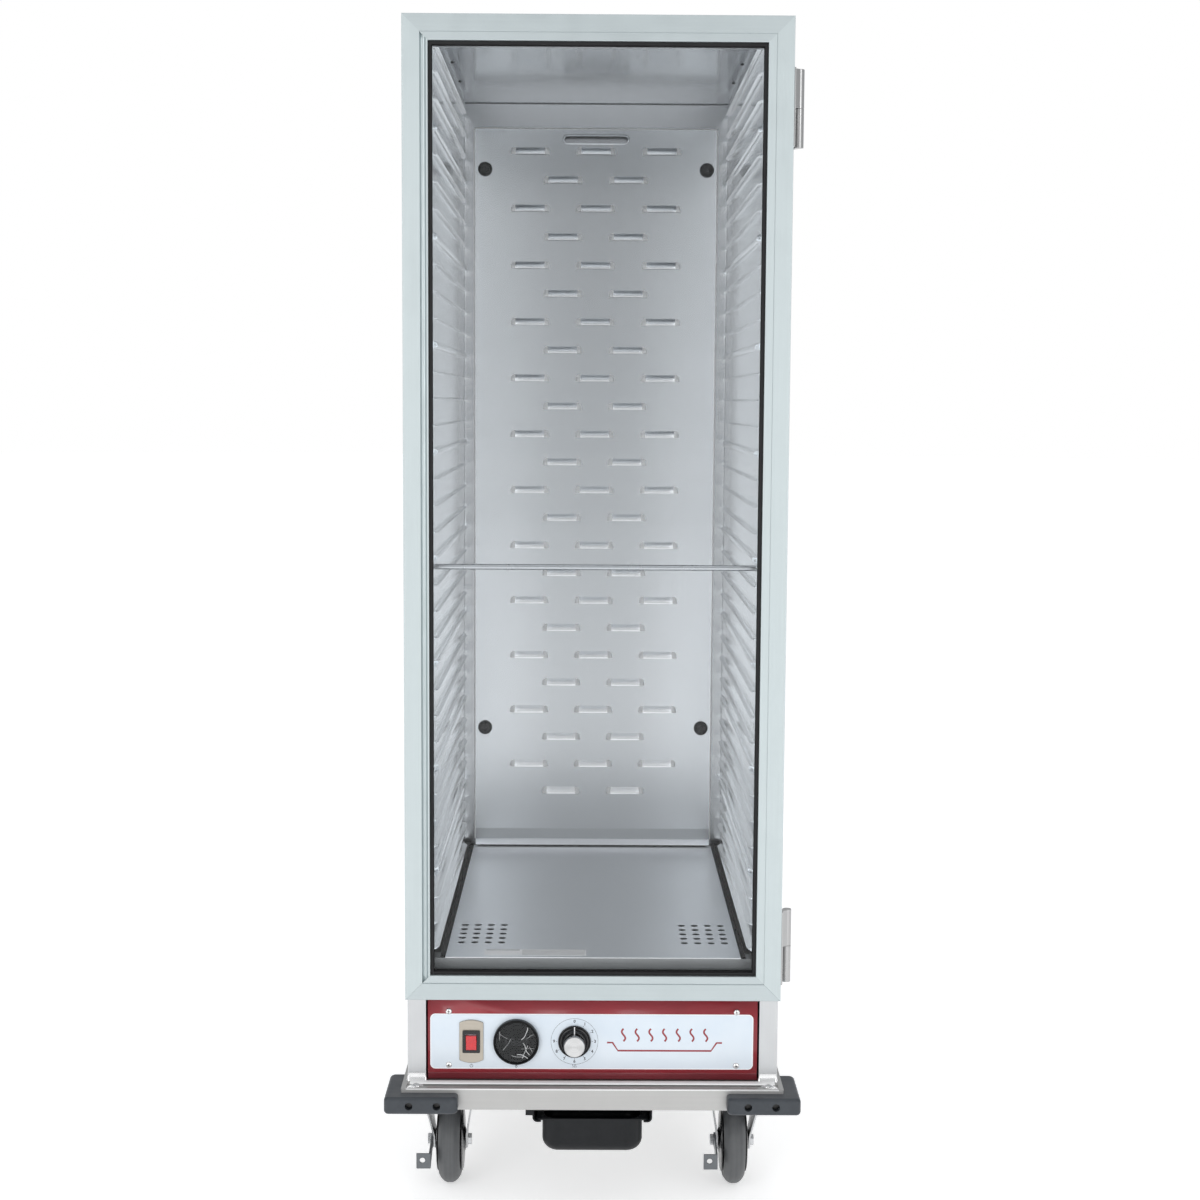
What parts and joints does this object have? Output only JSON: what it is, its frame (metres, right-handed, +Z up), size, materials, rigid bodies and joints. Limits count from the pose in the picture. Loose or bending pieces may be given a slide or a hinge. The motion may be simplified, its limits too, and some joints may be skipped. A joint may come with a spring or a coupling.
{
  "type": "food holding cabinet",
  "caption": "Tall insulated holding cabinet with a clear framed door, ribbed pan slides, a louvred rear air duct, front controls and braked swivel casters.",
  "frame": {"origin": "centre of the bounding box on the floor, level with the bottoms of the wheels", "axes": "+Z up; the door faces -Y and hangs on hinges on the +X side"},
  "size_m": [0.6, 0.862, 1.7035],
  "materials": {
    "base_metal": "satin extruded",
    "post_metal": "satin",
    "skin_metal": "mill",
    "liner_metal": "mill, slightly glossy",
    "duct_metal": "brushed",
    "floor_metal": "brushed",
    "sill_metal": "dark satin",
    "door_metal": "satin anodised",
    "pane_clear": "clear",
    "gasket_black": "matte",
    "seal_black": "matte",
    "bumper_grey": "semi matte",
    "wheel_grey": "matte",
    "zinc_steel": "zinc plated",
    "screw_steel": "plain",
    "dark_screw": "black oxide",
    "panel_red": "gloss overlay",
    "plate_champagne": "brushed",
    "switch_black": "gloss",
    "rocker_red": "translucent",
    "thermometer_black": "gloss",
    "knob_black": "satin",
    "cap_silver": "spun",
    "stud_black": "matte",
    "tray_black": "satin",
    "bracket_metal": "mill",
    "chassis_metal": "mill",
    "heater_steel": "heat tinted",
    "motor_grey": "satin",
    "blower_metal": "mill",
    "thermostat_black": "matte",
    "gland_black": "matte",
    "insulation_white": "fibre",
    "bar_steel": "polished"
  },
  "bodies": {
    "cabinet": {"base_frame": "base_metal", "bumper_front_left": "bumper_grey", "bumper_front_right": "bumper_grey", "bumper_rear_left": "bumper_grey", "bumper_rear_right": "bumper_grey", "bumper_screws": "dark_screw", "caster_plates": "zinc_steel", "jamb_left": "post_metal", "jamb_right": "post_metal", "header_rail": "post_metal", "sill_rail": "sill_metal", "side_panel_left": "skin_metal", "side_panel_right": "skin_metal", "back_panel": "skin_metal", "top_panel": "skin_metal", "liner_left": "liner_metal", "liner_right": "liner_metal", "liner_back": "liner_metal", "liner_top": "liner_metal", "insulation": "insulation_white", "duct_panel": "duct_metal", "duct_studs": "stud_black", "tie_bar": "bar_steel", "floor_panel": "floor_metal", "floor_seals": "seal_black", "module_chassis": "chassis_metal", "heating_element": "heater_steel", "fan_motor": "motor_grey", "thermostat": "thermostat_black", "control_panel": "panel_red", "panel_screws": "screw_steel", "switch_plate": "plate_champagne", "switch_body": "switch_black", "thermometer": "thermometer_black", "hinge_leaves_body": "zinc_steel", "tray_rails": "bracket_metal", "power_gland": "gland_black"},
    "door": {"stile_left": "door_metal", "stile_right": "door_metal", "rail_top": "door_metal", "rail_bottom": "door_metal", "door_pane": "pane_clear", "pane_gasket": "gasket_black", "door_seal": "seal_black", "hinge_leaves_door": "zinc_steel"},
    "knob": {"knob": "knob_black", "knob_cap": "cap_silver"},
    "rocker": {"rocker": "rocker_red"},
    "blower": {"blower_wheel": "blower_metal"},
    "drip_tray": {"drip_tray": "tray_black"},
    "fork_front_left": {"fork_front_left": "zinc_steel"},
    "wheel_front_left": {"wheel_front_left": "wheel_grey"},
    "fork_front_right": {"fork_front_right": "zinc_steel"},
    "wheel_front_right": {"wheel_front_right": "wheel_grey"},
    "fork_rear_left": {"fork_rear_left": "zinc_steel"},
    "wheel_rear_left": {"wheel_rear_left": "wheel_grey"},
    "fork_rear_right": {"fork_rear_right": "zinc_steel"},
    "wheel_rear_right": {"wheel_rear_right": "wheel_grey"},
    "brake_left": {"brake_lever_left": "zinc_steel"},
    "brake_right": {"brake_lever_right": "zinc_steel"}
  },
  "joints": [
    {"name": "door_swing", "type": "hinge", "parent": "cabinet", "child": "door", "pos_m": [0.2795, -0.386, 1], "axis": [0, 0, 1], "range_deg": [0, 195]},
    {"name": "knob_turn", "type": "hinge", "parent": "cabinet", "child": "knob", "pos_m": [-0.0265, -0.39, 0.2445], "axis": [0, 1, 0], "range_deg": [0, 270]},
    {"name": "rocker_tip", "type": "hinge", "parent": "cabinet", "child": "rocker", "pos_m": [-0.177, -0.3775, 0.2445], "axis": [1, 0, 0], "range_deg": [-16, 0]},
    {"name": "tray_slide", "type": "slide", "parent": "cabinet", "child": "drip_tray", "axis": [0, -1, 0], "range_m": [0, 0.13]},
    {"name": "blower_spin", "type": "hinge", "parent": "cabinet", "child": "blower", "pos_m": [0.06, -0.04, 0.27], "axis": [0, 0, 1], "continuous": true},
    {"name": "swivel_front_left", "type": "hinge", "parent": "cabinet", "child": "fork_front_left", "pos_m": [-0.213, -0.321, 0.14], "axis": [0, 0, 1], "continuous": true},
    {"name": "roll_front_left", "type": "hinge", "parent": "fork_front_left", "child": "wheel_front_left", "pos_m": [-0.213, -0.286, 0.0635], "axis": [1, 0, 0], "continuous": true},
    {"name": "swivel_front_right", "type": "hinge", "parent": "cabinet", "child": "fork_front_right", "pos_m": [0.213, -0.321, 0.14], "axis": [0, 0, 1], "continuous": true},
    {"name": "roll_front_right", "type": "hinge", "parent": "fork_front_right", "child": "wheel_front_right", "pos_m": [0.213, -0.286, 0.0635], "axis": [1, 0, 0], "continuous": true},
    {"name": "swivel_rear_left", "type": "hinge", "parent": "cabinet", "child": "fork_rear_left", "pos_m": [-0.213, 0.321, 0.14], "axis": [0, 0, 1], "continuous": true},
    {"name": "roll_rear_left", "type": "hinge", "parent": "fork_rear_left", "child": "wheel_rear_left", "pos_m": [-0.213, 0.356, 0.0635], "axis": [1, 0, 0], "continuous": true},
    {"name": "swivel_rear_right", "type": "hinge", "parent": "cabinet", "child": "fork_rear_right", "pos_m": [0.213, 0.321, 0.14], "axis": [0, 0, 1], "continuous": true},
    {"name": "roll_rear_right", "type": "hinge", "parent": "fork_rear_right", "child": "wheel_rear_right", "pos_m": [0.213, 0.356, 0.0635], "axis": [1, 0, 0], "continuous": true},
    {"name": "brake_left", "type": "hinge", "parent": "fork_front_left", "child": "brake_left", "pos_m": [-0.2405, -0.286, 0.0635], "axis": [1, 0, 0], "range_deg": [0, 15]},
    {"name": "brake_right", "type": "hinge", "parent": "fork_front_right", "child": "brake_right", "pos_m": [0.1855, -0.286, 0.0635], "axis": [1, 0, 0], "range_deg": [0, 15]}
  ]
}
